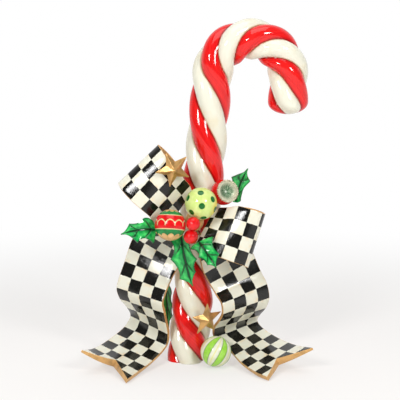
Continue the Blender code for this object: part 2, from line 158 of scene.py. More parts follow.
LEAF_THICK = 2.6
LEAVES = {
    "holly_leaf_left": dict(
        rib=((-33, -50, 157), (-49, -61, 161), (-69.6, -62, 154.3)), face=(0.05, -0.95, 0.25),
        left=((0.12, 14.5), (0.63, 13.0)), right=((0.36, 12.0), (0.73, 8.5))),
    "holly_leaf_middle": dict(
        rib=((-6, -46, 150), (-3, -53, 124), (6.2, -44, 93.8)), face=(-0.12, -0.98, 0.1),
        left=((0.12, 8), (0.5, 13.0), (0.74, 8.0)), right=((0.1, 11), (0.42, 15.5), (0.8, 11.0))),
    "holly_leaf_right": dict(
        rib=((13, -57, 145), (20.5, -69, 137), (31.5, -70, 120)), face=(0.18, -0.93, 0.3),
        left=((0.14, 15.5), (0.72, 11.0)), right=((0.14, 11.5), (0.48, 10.5), (0.8, 7.0))),
    "holly_leaf_back": dict(
        rib=((53, -9, 180), (57, -9, 203), (66.3, -15, 217.8)), face=(0.3, -0.95, 0.0),
        left=((0.1, 6), (0.62, 13.0)), right=((0.1, 5), (0.66, 9.0))),
    "holly_leaf_rear": dict(
        rib=((-25, 20, 84), (-23, 24, 58), (-22, 20, 30)), face=(-0.5, -0.85, 0.1),
        left=((0.25, 7), (0.5, 8.5), (0.75, 6.0)), right=((0.25, 7), (0.5, 8.5), (0.75, 6.0))),
}

# Painted dots: (longitude from the front towards +X, latitude), degrees.
DOTS = (
    (-2, 51), (-64, 24), (52, 21), (3, 0), (-41, -26), (14, -54), (67, -17), (-110, 45), (110, 42),
    (-150, 12), (170, 52), (105, 4), (145, -14), (-100, -12), (-125, -48), (95, -52), (180, -40),
)
DOT_SPREAD = 11.0
BANDED_AXIS = (0.05, 0.25, 0.97)
SWIRL_AXIS = (0.37, 0.145, 0.92)

low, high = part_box("dotted_ball")
SHIFT = (low + high) / 2 - Vector(DOTTED_BALL[0]) * MM


def placed(point):
    """A point of the tables above, in metres in the model's frame."""
    return Vector(point) * MM + SHIFT


# ---------------------------------------------------------------- settings

class FigurineSettings(bpy.types.PropertyGroup):
    strand_faces: bpy.props.IntProperty(
        name="Strand faces", description="Faces across each twisted strand", default=16, min=6,
        max=40)
    row_length: bpy.props.FloatProperty(
        name="Row length", description="Length of a row of faces along the cane", default=0.0018,
        min=0.0008, unit="LENGTH")
    ribbon_rows: bpy.props.IntProperty(
        name="Ribbon rows", description="Rows of faces along a ribbon", default=120, min=30)
    edge_round: bpy.props.FloatProperty(
        name="Edge rounding", description="Radius of the ribbons' softened edges", default=0.0004,
        unit="LENGTH")
    red: bpy.props.FloatVectorProperty(
        name="Red", description="Paint of the red strands, berries and ball", subtype="COLOR",
        size=4, default=(0.80, 0.006, 0.008, 1.0))
    cream: bpy.props.FloatVectorProperty(
        name="Cream", description="Paint of the light strands and squares", subtype="COLOR",
        size=4, default=(0.80, 0.79, 0.66, 1.0))
    black: bpy.props.FloatVectorProperty(
        name="Black", description="Paint of the dark squares", subtype="COLOR",
        size=4, default=(0.006, 0.006, 0.005, 1.0))
    gold: bpy.props.FloatVectorProperty(
        name="Gold", description="Paint of the ribbon backs, edges and stars", subtype="COLOR",
        size=4, default=(0.62, 0.36, 0.13, 1.0))
    green: bpy.props.FloatVectorProperty(
        name="Green", description="Paint of the holly leaves and bands", subtype="COLOR",
        size=4, default=(0.004, 0.27, 0.055, 1.0))
    lime: bpy.props.FloatVectorProperty(
        name="Lime", description="Paint of the dotted ball", subtype="COLOR",
        size=4, default=(0.60, 0.76, 0.22, 1.0))


def settings():
    """The figurine's sizes and colours."""
    return bpy.context.scene.figurine


# ---------------------------------------------------------------- shader maths

class Wire:
    """One socket of a material, so that shader maths reads as plain sums."""

    def __init__(self, tree, socket=None):
        self.tree = tree
        self.socket = socket

    def node(self, kind, options=None, values=None, out=0):
        """Add a node: its options first, then the values or links of its sockets."""
        made = self.tree.nodes.new("ShaderNode" + kind)
        for key, value in (options or {}).items():
            setattr(made, key, value)
        for key, value in (values or {}).items():
            self.feed(made.inputs[key], value)
        return Wire(self.tree, made.outputs[out])

    def feed(self, socket, value):
        """Set or link one input socket."""
        if isinstance(value, Wire):
            self.tree.links.new(value.socket, socket)
        else:
            socket.default_value = value

    def also(self, out):
        """Another output of the same node."""
        return Wire(self.tree, self.socket.node.outputs[out])

    def maths(self, operation, *values):
        return self.node("Math", {"operation": operation}, dict(enumerate(values)))

    def __add__(self, other):
        return self.maths("ADD", self, other)

    __radd__ = __add__

    def __sub__(self, other):
        return self.maths("SUBTRACT", self, other)

    def __rsub__(self, other):
        return self.maths("SUBTRACT", other, self)

    def __mul__(self, other):
        return self.maths("MULTIPLY", self, other)

    __rmul__ = __mul__

    def __truediv__(self, other):
        return self.maths("DIVIDE", self, other)

    def __gt__(self, other):
        return self.maths("GREATER_THAN", self, other)

    def floor(self):
        return self.maths("FLOOR", self)

    def fraction(self):
        return self.maths("FRACT", self)

    def size(self):
        return self.maths("ABSOLUTE", self)

    def power(self, exponent):
        return self.maths("POWER", self, exponent)

    def most(self, other):
        return self.maths("MAXIMUM", self, other)

    def least(self, other):
        return self.maths("MINIMUM", self, other)

    def rise(self, start, end):
        """A smooth step from 0 at start to 1 at end."""
        return self.node("MapRange", {"interpolation_type": "SMOOTHSTEP"},
                         {"Value": self, "From Min": start, "From Max": end})

    def tint(self, low_colour, high_colour):
        """Mix two colours by this value."""
        ends = {0: self, 6: low_colour, 7: high_colour}
        return self.node("Mix", {"data_type": "RGBA"}, ends, out=2)

    def parts(self):
        """The X, Y and Z of a vector."""
        split = self.node("SeparateXYZ", None, {0: self})
        return split, split.also(1), split.also(2)

    def along(self, direction):
        """Dot product with a direction."""
        return self.node("VectorMath", {"operation": "DOT_PRODUCT"},
                         {0: self, 1: tuple(Vector(direction).normalized())}, out="Value")

    def stretched(self, scales):
        return self.node("VectorMath", {"operation": "MULTIPLY"}, {0: self, 1: scales})

    def noise(self, vector, scale, detail=2.0, roughness=0.5):
        return self.node("TexNoise", None, {"Vector": vector, "Scale": scale, "Detail": detail,
                                            "Roughness": roughness})


def new_paint(name):
    """A material by name and the wire that its nodes are added through."""
    made = bpy.data.materials.new(name)
    made.use_nodes = True
    return made, Wire(made.node_tree)


def coat_with(made, wire, colour, roughness, relief=None, relief_depth=0.0003, **plain):
    """Connect a paint's colour, roughness and relief to its shader."""
    shader = made.node_tree.nodes["Principled BSDF"]
    wire.feed(shader.inputs["Base Color"], colour)
    wire.feed(shader.inputs["Roughness"], roughness)
    for key, value in plain.items():
        wire.feed(shader.inputs[key.replace("_", " ")], value)
    if relief is not None:
        bump = wire.node(
            "Bump", None, {"Strength": 1.0, "Distance": relief_depth, "Height": relief})
        wire.feed(shader.inputs["Normal"], bump)
    return made


def shade(colour, by):
    """A colour made darker or lighter, in plain numbers."""
    return tuple(min(1.0, c * by) for c in colour[:3]) + (1.0,)


def object_place(wire):
    return wire.node("TexCoord", out="Object")


def from_centre(wire, centre):
    """Direction from a ball's centre to the surface."""
    offset = wire.node("VectorMath", {"operation": "SUBTRACT"},
                       {0: object_place(wire), 1: tuple(placed(centre))})
    return wire.node("VectorMath", {"operation": "NORMALIZE"}, {0: offset})


def cane_paint():
    """Red and cream strands, streaked along their length, with painted shade that darkens and browns them
    towards the grooves.
    """
    made, wire = new_paint("strand_paint")
    red, cream = tuple(settings().red), tuple(settings().cream)
    spot = wire.node("TexCoord", out="UV")
    place, _, _ = spot.parts()
    wobble = wire.noise(spot.stretched((1.0, 30.0, 1.0)), 2.0) - 0.5
    strand = place + wobble * 0.05
    is_cream = (strand / 2).fraction() > 0.5
    across = strand.fraction()
    # Nearness to the groove between two strands, where painted shade is laid.
    groove_shade = 1 - across * (1 - across) * 4
    streak = wire.noise(spot.stretched((14.0, 22.0, 1.0)), 1.0, 4.0, 0.6)
    patch = wire.noise(object_place(wire), 55.0, 3.0)
    fresh = streak.rise(0.3, 0.75).tint(shade(red, 0.86), (0.88, 0.018, 0.015, 1.0))
    # Painted shade: the red darkens towards the grooves.
    fresh = groove_shade.rise(0.55, 1.0).tint(fresh, shade(red, 0.38))
    pale = (patch.rise(0.5, 0.75) * 0.6).tint(cream, (0.78, 0.71, 0.50, 1.0))
    # Painted shade: the cream browns towards the grooves.
    pale = groove_shade.rise(0.72, 1.0).tint(pale, (0.50, 0.30, 0.14, 1.0))
    colour = is_cream.tint(fresh, pale)
    relief = streak * 0.3 + patch * 0.7
    return coat_with(made, wire, colour, 0.05 + streak * 0.05, relief, 0.0002)


def check_paint():
    """Hand-painted black and cream squares."""
    made, wire = new_paint("check_paint")
    cream, black = tuple(settings().cream), tuple(settings().black)
    spot = wire.node("TexCoord", out="UV")
    across, row, _ = spot.parts()
    wander = wire.noise(spot, 1.7, 1.0)
    shake_x = wire.noise(spot.stretched((3.0, 3.0, 3.0)), 1.3) - 0.5
    shake_y = wire.noise(spot.stretched((-3.0, 2.6, 3.0)), 1.4) - 0.5
    column = across + shake_x * 0.07
    line = row + shake_y * 0.07
    is_cream = ((column.floor() + line.floor()) / 2).fraction() > 0.25
    edge_x = (column.fraction() - 0.5).size()
    edge_y = (line.fraction() - 0.5).size()
    border = edge_x.most(edge_y)
    warm = wander.rise(0.48, 0.75) * border.rise(0.15, 0.5) * 0.7
    pale = warm.tint(cream, (0.85, 0.66, 0.38, 1.0))
    brushed = wire.noise(spot.stretched((2.0, 11.0, 1.0)), 2.0, 3.0)
    dark = brushed.rise(0.5, 0.85).tint(black, (0.035, 0.030, 0.020, 1.0))
    worn = wire.noise(spot, 2.3, 4.0).rise(0.66, 0.8)
    dark = (worn * 0.55).tint(dark, (0.10, 0.075, 0.04, 1.0))
    colour = is_cream.tint(dark, pale)
    relief = brushed * 0.5 + is_cream * 0.15
    return coat_with(made, wire, colour, 0.05 + brushed * 0.06, relief, 0.0002)


def gold_paint(name="gold_paint", metallic=0.25, roughness=0.34):
    """Tan gold paint with brown worked into it."""
    made, wire = new_paint(name)
    gold = tuple(settings().gold)
    place = object_place(wire)
    cloud = wire.noise(place, 90.0, 4.0, 0.6)
    fine = wire.noise(place, 700.0, 2.0)
    colour = cloud.rise(0.35, 0.8).tint(shade(gold, 1.15), shade(gold, 0.6))
    return coat_with(made, wire, colour, roughness + fine * 0.15, fine, 0.0002, Metallic=metallic)


def red_paint():
    """Glossy red with thicker and thinner coats."""
    made, wire = new_paint("red_gloss")
    red = tuple(settings().red)
    coat = wire.noise(object_place(wire), 120.0, 3.0)
    colour = coat.rise(0.35, 0.7).tint(red, shade(red, 0.72))
    return coat_with(made, wire, colour, 0.03 + coat * 0.04, coat, 0.0001)


def holly_paint():
    """Green leaf with a dark midrib, side veins and edge, and painted highlight patches of lighter green between
    them.
    """
    made, wire = new_paint("holly_paint")
    green = tuple(settings().green)
    spot = wire.node("TexCoord", out="UV")
    side, share, _ = spot.parts()
    away = side.size()
    cloud = wire.noise(spot.stretched((1.6, 5.0, 1.0)), 1.4, 3.0)
    # Painted highlight: lighter green patches between the midrib and the edge.
    body = (cloud.rise(0.35, 0.65) * away.rise(0.05, 0.45) * away.rise(1.0, 0.6)).tint(
        green, (0.045, 0.60, 0.12, 1.0))
    # Painted highlight: paler patches again between the veins.
    body = (cloud.rise(0.55, 0.8) * away.rise(0.1, 0.5) * 0.45).tint(body, (0.18, 0.70, 0.22, 1.0))
    rib = away.rise(0.16, 0.04)
    slant = (share * 2.5 - away * 0.6 + 0.15).fraction()
    vein = (slant - 0.5).size().rise(0.11, 0.03) * away.rise(1.0, 0.6)
    rim = away.rise(0.86, 1.0) * 0.75
    dark = rib.most(vein * 0.8).most(rim)
    colour = dark.tint(body, (0.002, 0.035, 0.010, 1.0))
    relief = 1 - rib * 0.8 - vein * 0.5
    return coat_with(made, wire, colour, 0.07 + cloud * 0.07, relief, 0.0010)


def dotted_paint():
    """Lime ball with dark green dots and a yellow blush on one side."""
    made, wire = new_paint("dotted_paint")
    facing = from_centre(wire, DOTTED_BALL[0])
    edge = cos(radians(DOT_SPREAD))
    dots = None
    for longitude, latitude in DOTS:
        turn, lift = radians(longitude), radians(latitude)
        near = facing.along((sin(turn) * cos(lift), -cos(turn) * cos(lift), sin(lift)))
        dots = near if dots is None else dots.most(near)
    dots = dots.rise(edge - 0.004, edge + 0.002)
    cloud = wire.noise(object_place(wire), 160.0, 3.0)
    lime = tuple(settings().lime)
    body = cloud.rise(0.35, 0.7).tint(lime, (0.70, 0.80, 0.30, 1.0))
    amber = facing.along((0.95, -0.1, -0.25)).rise(0.62, 1.0) * 0.75
    body = amber.tint(body, (0.85, 0.58, 0.03, 1.0))
    colour = dots.tint(body, (0.002, 0.13, 0.012, 1.0))
    return coat_with(made, wire, colour, 0.05 + cloud * 0.05, dots * 0.6 + cloud * 0.4, 0.0001)


def banded_paint():
    """Red ball with gold lines, a scalloped chain, green bands and gold petals."""
    made, wire = new_paint("banded_paint")
    red, green, gold = tuple(settings().red), tuple(settings().green), tuple(settings().gold)
    facing = from_centre(wire, BANDED_BALL[0])
    axis = Vector(BANDED_AXIS).normalized()
    front = (Vector((0, -1, 0)) - axis * axis.dot(Vector((0, -1, 0)))).normalized()
    side = front.cross(axis) * -1
    height = facing.along(axis)
    latitude = wire.maths("ARCSINE", height) * (180 / pi)
    longitude = wire.maths("ARCTAN2", facing.along(side), facing.along(front)) * (180 / pi)
    cell = (longitude / 36 + 0.5).fraction() - 0.5
    arch = 17 - cell * cell * 50
    chain = (latitude - arch).size().rise(3.4, 1.8) * (latitude.rise(2.0, 4.0))
    cusp = (0.5 - cell.size()) * 36
    drop = cusp.rise(2.8, 1.6) * (latitude + 0.5).size().rise(5.5, 4.0)
    lines = (latitude - 36.5).size().rise(2.2, 1.4).most((latitude + 18).size().rise(2.2, 1.4))
    petal_cell = (longitude / 36 + 0.3).fraction() - 0.5
    petals = (latitude + 36 + petal_cell * petal_cell * 46).rise(1.0, -1.0)
    petal_gap = petals * (0.5 - petal_cell.size()).rise(0.07, 0.0)
    tops = (latitude - 54 - petal_cell * petal_cell * 36).rise(-1.0, 1.0)
    greens = (latitude.size() - 27.2).rise(9.0, 9.4) * (latitude > 0) + (1 - (latitude > -18))
    cloud = wire.noise(object_place(wire), 200.0, 3.0)
    leaf = cloud.rise(0.3, 0.7).tint(green, shade(green, 0.6))
    body = cloud.rise(0.4, 0.7).tint(red, shade(red, 0.75))
    light_gold = (0.80, 0.62, 0.30, 1.0)
    colour = greens.tint(body, leaf)
    petal_gold = cloud.rise(0.4, 0.7).tint((0.80, 0.50, 0.22, 1.0), gold)
    colour = petals.most(tops).tint(colour, petal_gold)
    colour = (petal_gap * 0.6).tint(colour, (0.30, 0.12, 0.03, 1.0))
    trim = lines.most(chain).most(drop)
    colour = trim.tint(colour, light_gold)
    relief = trim + petals * 0.5 + cloud * 0.2
    return coat_with(made, wire, colour, 0.12 + cloud * 0.1, relief, 0.0005)


def swirl_paint():
    """White ball with lime swirls from pole to pole, finely outlined."""
    made, wire = new_paint("swirl_paint")
    facing = from_centre(wire, SWIRL_BALL[0])
    axis = Vector(SWIRL_AXIS).normalized()
    front = (Vector((0, -1, 0)) - axis * axis.dot(Vector((0, -1, 0)))).normalized()
    side = front.cross(axis) * -1
    latitude = wire.maths("ARCSINE", facing.along(axis)) * (180 / pi)
    longitude = wire.maths("ARCTAN2", facing.along(side), facing.along(front)) * (180 / pi)
    turned = (longitude - latitude * 0.12 + 52) / 60
    cell = turned.fraction()
    lime_band = cell.rise(0.47, 0.44)
    outline = (cell - 0.455).size().least(cell.least(1 - cell)).rise(0.045, 0.02)
    thread = (cell - 0.72).size().rise(0.05, 0.03)
    cloud = wire.noise(object_place(wire), 200.0, 3.0)
    lime = cloud.rise(0.3, 0.7).tint((0.30, 0.68, 0.05, 1.0), (0.42, 0.78, 0.12, 1.0))
    white = cloud.rise(0.4, 0.8).tint((0.82, 0.84, 0.68, 1.0), (0.74, 0.78, 0.52, 1.0))
    colour = lime_band.tint(white, lime)
    colour = (thread * 0.7).tint(colour, (0.80, 0.76, 0.22, 1.0))
    colour = (outline * 0.55).tint(colour, (0.10, 0.20, 0.03, 1.0))
    return coat_with(made, wire, colour, 0.11 + cloud * 0.08, outline * -1 + cloud * 0.3, 0.0003)


def needle_paint():
    """Silver dish with green and white needles that radiate from its middle."""
    made, wire = new_paint("needle_paint")
    axis = Vector(DISH_AXIS).normalized()
    across = axis.cross(Vector((0, 0, 1))).normalized()
    upward = across.cross(axis)
    middle = placed(REFLECTOR_BALL[0])
    offset = wire.node(
        "VectorMath", {"operation": "SUBTRACT"}, {0: object_place(wire), 1: tuple(middle)})
    flat_x, flat_y = offset.along(across), offset.along(upward)
    reach = (flat_x * flat_x + flat_y * flat_y).power(0.5) * (1 / (DISH_RADIUS * MM))
    angle = wire.maths("ARCTAN2", flat_y, flat_x)
    spokes = wire.node("CombineXYZ", None, {0: angle * 9.0, 1: reach * 1.2, 2: 0.0})
    needle = wire.noise(spokes, 1.6, 2.0)
    needles = needle.rise(0.40, 0.52) * reach.rise(0.95, 0.45)
    green = (0.012, 0.12, 0.035, 1.0)
    pale = reach.rise(0.1, 0.9).tint((0.55, 0.66, 0.48, 1.0), (0.68, 0.66, 0.50, 1.0))
    colour = needles.tint(pale, green)
    colour = reach.rise(0.16, 0.05).tint(colour, (0.85, 0.90, 0.80, 1.0))
    return coat_with(made, wire, colour, 0.28 + needle * 0.1, needle, 0.0006, Metallic=0.35)


def silver_paint():
    """Champagne silver of the beads round the dish."""
    made, wire = new_paint("champagne_paint")
    cloud = wire.noise(object_place(wire), 500.0, 3.0)
    colour = cloud.rise(0.35, 0.7).tint((0.72, 0.68, 0.52, 1.0), (0.40, 0.36, 0.24, 1.0))
    return coat_with(made, wire, colour, 0.25 + cloud * 0.1, cloud, 0.0002, Metallic=0.5)


# ---------------------------------------------------------------- modelling helpers

def pick(piece):
    """Select one piece alone and make it active."""
    bpy.ops.object.select_all(action="DESELECT")
    piece.select_set(True)
    bpy.context.view_layer.objects.active = piece


def named_primitive(name):
    """Name the primitive that was just added."""
    piece = bpy.context.object
    piece.name = piece.data.name = name
    return piece


def close_seams(piece):
    """Merge doubled points and turn every face outwards."""
    pick(piece)
    bpy.ops.object.mode_set(mode="EDIT")
    bpy.ops.mesh.select_all(action="SELECT")
    bpy.ops.mesh.remove_doubles(threshold=0.00002)
    bpy.ops.mesh.normals_make_consistent(inside=False)
    bpy.ops.object.mode_set(mode="OBJECT")


def add_modifier(piece, kind, **options):
    """Add a modifier and apply it."""
    pick(piece)
    made = piece.modifiers.new(kind.title(), kind)
    for key, value in options.items():
        setattr(made, key, value)
    bpy.ops.object.modifier_apply(modifier=made.name)


def sheet(name, rows, uvs):
    """A grid with its points laid at rows[k][i], in mm, and uvs[k][i] as its UV map."""
    across, along = len(rows[0]) - 1, len(rows) - 1
    bpy.ops.object.select_all(action="DESELECT")
    bpy.ops.mesh.primitive_grid_add(x_subdivisions=across, y_subdivisions=along, size=2)
    piece = named_primitive(name)
    spots = []
    for vertex in piece.data.vertices:
        i = round((vertex.co.x + 1) / 2 * across)
        k = round((vertex.co.y + 1) / 2 * along)
        spots.append((k, i))
        vertex.co = placed(rows[k][i])
    layer = piece.data.uv_layers.active
    for loop in piece.data.loops:
        k, i = spots[loop.vertex_index]
        layer.data[loop.index].uv = uvs[k][i]
    return piece, spots


def turned(name, centre, outline, around, axis):
    """A closed shape turned about an axis from (radius, height) points."""
    turn = Vector((0, 0, 1)).rotation_difference(Vector(axis).normalized())
    rows, uvs = [], []
    for k, (reach, height) in enumerate(outline):
        line = []
        for i in range(around + 1):
            angle = tau * (i % around) / around
            spoke = Vector((reach * cos(angle), reach * sin(angle), height))
            line.append(Vector(centre) + turn @ spoke)
        rows.append(line)
        uvs.append([(i / around, k / len(outline)) for i in range(around + 1)])
    piece, _ = sheet(name, rows, uvs)
    close_seams(piece)
    return piece


def finish_piece(piece, paints, nodes=(), angle=40.0):
    """Smooth, paint and hang a piece on the figurine."""
    pick(piece)
    bpy.ops.object.shade_smooth_by_angle(angle=radians(angle))
    for paint in paints[len(piece.data.materials):]:
        piece.data.materials.append(paint)
    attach(piece, "root")
    if nodes:
        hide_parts(*nodes)


def paint_named(name, make):
    """A paint that several pieces share."""
    return bpy.data.materials.get(name) or make()


def smooth_path(stations, at):
    """Catmull-Rom position at a parameter, through (parameter, position) stations."""
    keys = [key for key, _ in stations]
    i = min(max(bisect.bisect_right(keys, at) - 1, 0), len(keys) - 2)
    k0, k1 = keys[i], keys[i + 1]
    p0, p1 = stations[i][1], stations[i + 1][1]

    def slope(j):
        before, after = max(j - 1, 0), min(j + 1, len(keys) - 1)
        return (stations[after][1] - stations[before][1]) / (keys[after] - keys[before])
    span = k1 - k0
    t = (at - k0) / span
    m0, m1 = slope(i) * span, slope(i + 1) * span
    return (p0 * (2 * t**3 - 3 * t**2 + 1) + m0 * (t**3 - 2 * t**2 + t)
            + p1 * (3 * t**2 - 2 * t**3) + m1 * (t**3 - t**2))


# ---------------------------------------------------------------- cane

def run_at(distance):
    """Length of a strand's quarter turn at a distance along the cane."""
    keys = [key for key, _ in STRAND_RUN]
    i = min(max(bisect.bisect_right(keys, distance) - 1, 0), len(keys) - 2)
    (k0, r0), (k1, r1) = STRAND_RUN[i], STRAND_RUN[i + 1]
    t = min(max((distance - k0) / (k1 - k0), 0.0), 1.0)
    return r0 + (r1 - r0) * (3 * t * t - 2 * t**3)


def strand_turns(distance):
    """Strands passed at the front from the base up to a distance along the cane."""
    steps = 200
    step = distance / steps
    return sum(step / run_at(step * (k + 0.5)) for k in range(steps))


def hook_centre():
    """Middle of the hook's round part."""
    along, across = Vector((sin(LEAN), 0, cos(LEAN))), Vector((cos(LEAN), 0, -sin(LEAN)))
    return along * SHAFT_LENGTH + across * HOOK_RADIUS


def cane_length():
    """Length of the axis from the base to the tip."""
    return SHAFT_LENGTH + HOOK_RADIUS * (pi - LEAN) + hook_centre().z - LEG_BOTTOM


def cane_point(distance):
    """Centre and direction of the cane at a distance from the base."""
    along = Vector((sin(LEAN), 0, cos(LEAN)))
    if distance <= SHAFT_LENGTH:
        return along * distance, along
    centre = hook_centre()
    turn = (distance - SHAFT_LENGTH) / HOOK_RADIUS
    if turn <= pi - LEAN:
        angle = pi - LEAN - turn
        radial = Vector((cos(angle), 0, sin(angle)))
        return centre + radial * HOOK_RADIUS, Vector((sin(angle), 0, -cos(angle)))
    down = distance - SHAFT_LENGTH - HOOK_RADIUS * (pi - LEAN)
    return centre + Vector((HOOK_RADIUS, 0, -down)), Vector((0, 0, -1))


def lobe(share):
    """Radius of the four-strand section, as a share, at a place across one strand."""
    angle = (share - 0.5) * pi / 2
    bulge = 1 - LOBE_OFFSET
    return LOBE_OFFSET * cos(angle) + sqrt(bulge**2 - (LOBE_OFFSET * sin(angle))**2)


def cane_radius(distance):
    """Radius to the strands' crests: a slight taper, then the rounded tip."""
    length = cane_length()
    radius = CANE_RADIUS_BASE + (CANE_RADIUS_TIP - CANE_RADIUS_BASE) * distance / length
    left = length - distance
    if left < CAP_LENGTH:
        radius *= sqrt(max(1 - (1 - left / CAP_LENGTH) ** CAP_FULLNESS, 0.0))
    return radius


def cane_ring(distance, per_strand):
    """One ring of the twisted section, and where across the strands its points lie."""
    centre, along = cane_point(distance)
    front = Vector((0, -1, 0))
    side = along.cross(front).normalized()
    turns = strand_turns(distance) - strand_turns(RED_STARTS_AT)
    radius = cane_radius(distance)
    count = STRANDS * per_strand
    line, marks = [], []
    for k in range(count + 1):
        place = (k % count) / per_strand
        angle = (place - turns) * pi / 2
        line.append(centre + (front * cos(angle) + side * sin(angle)) * radius * lobe(place % 1.0))
        marks.append((k / per_strand, distance * MM))
    return line, marks


def build_cane():
    """The twisted cane as one closed tube."""
    length = cane_length()
    per_strand, step = settings().strand_faces, settings().row_length / MM
    body = length - CAP_LENGTH
    count = round((body - 4) / step)
    stops = [0.0] + [4 + (body - 4) * k / count for k in range(count + 1)]
    stops += [length - CAP_LENGTH * (1 - k / 12) ** 1.7 for k in range(1, 12)]
    rings = [cane_ring(stop, per_strand) for stop in stops]
    rows = [line for line, _ in rings]
    uvs = [marks for _, marks in rings]
    rows[0] = [Vector((p.x, p.y, 0)) for p in rows[0]]
    rows.insert(0, [Vector((0, 0, 0))] * len(rows[0]))
    uvs.insert(0, uvs[0])
    rows.append([cane_point(length)[0]] * len(rows[0]))
    uvs.append([(mark[0], length * MM) for mark in uvs[-1]])
    piece, _ = sheet("cane_painted", rows, uvs)
    close_seams(piece)
    finish_piece(piece, [paint_named("strand_paint", cane_paint)], ["candy_cane"], 60)


# ---------------------------------------------------------------- ribbon

def swallow_tail(across):
    """Row at which a tail ends, for a V-shaped notch."""
    return NOTCH_ROW + NOTCH_DEPTH * abs(2 * across - 1)


def tail_thickness(share, inward):
    """Thickness at a share of a tail's length and of its width from the outer edge."""
    blend = min(max((share - THICKER_FROM) / (THICKER_BY - THICKER_FROM), 0.0), 1.0)
    blend = blend * blend * (3 - 2 * blend)
    tip = OUTER_TIP + (INNER_TIP - OUTER_TIP) * inward
    end = tip + (NOTCH_THICK - tip) * (1 - abs(2 * inward - 1))
    return RIBBON_THICK + (end - RIBBON_THICK) * blend


def build_ribbon(name, node, stations, first_black, thick, ends=None, turn_over=True):
    """A ribbon from its stations, with painted squares in front and gold behind."""
    left = [(row, Vector(a)) for row, a, _ in stations]
    right = [(row, Vector(b)) for row, _, b in stations]
    start, last = stations[0][0], stations[-1][0]
    along, columns = settings().ribbon_rows, 12
    rows, uvs = [], []
    for k in range(along + 1):
        line, marks = [], []
        for c in range(columns + 1):
            across = c / columns
            end = ends(across) if ends else last
            row = start + (end - start) * k / along
            line.append(smooth_path(left, row).lerp(smooth_path(right, row), across))
            marks.append((across * SQUARES, row + first_black + 10))
        rows.append(line)
        uvs.append(marks)
    piece, spots = sheet(name, rows, uvs)
    thickest = max(thick(k / along, 0.5) for k in range(along + 1))
    group = piece.vertex_groups.new(name="thickness")
    for index, (k, c) in enumerate(spots):
        group.add([index], thick(k / along, c / columns) / thickest, "REPLACE")
    if turn_over:
        pick(piece)
        bpy.ops.object.mode_set(mode="EDIT")
        bpy.ops.mesh.select_all(action="SELECT")
        bpy.ops.mesh.flip_normals()
        bpy.ops.object.mode_set(mode="OBJECT")
    for paint in (paint_named("check_paint", check_paint), paint_named("gold_paint", gold_paint)):
        piece.data.materials.append(paint)
    add_modifier(piece, "SOLIDIFY", thickness=thickest * MM, offset=-1, vertex_group="thickness",
                 use_quality_normals=True, material_offset=1, material_offset_rim=1)
    for vertex in piece.data.vertices:
        vertex.co.z = max(vertex.co.z, 0.0)
    add_modifier(piece, "BEVEL", width=settings().edge_round, segments=2, limit_method="ANGLE",
                 angle_limit=radians(50), material=1)
    finish_piece(piece, [], [node], 50)


# ---------------------------------------------------------------- balls

def build_ball(name, node, ball, paint):
    """A round ball, a touch flattened where it was held while its paint dried."""
    centre, radius = ball
    bpy.ops.object.select_all(action="DESELECT")
    bpy.ops.mesh.primitive_uv_sphere_add(segments=64, ring_count=32, radius=radius * MM)
    piece = named_primitive(name)
    for vertex in piece.data.vertices:
        across, up = vertex.co.x / (radius * MM), vertex.co.z / (radius * MM)
        lean_in = 1 - 0.006 * (1 + sin(3 * across) * cos(2 * up))
        vertex.co = vertex.co * lean_in + placed(centre)
    finish_piece(piece, [paint], [node], 180)


def cone_points(radius, top, depth, shares):
    """Outline points of a cone whose tip is depth below its edge at height top."""
    return [(radius * t, top - depth * (1 - t ** 1.5)) for t in shares]


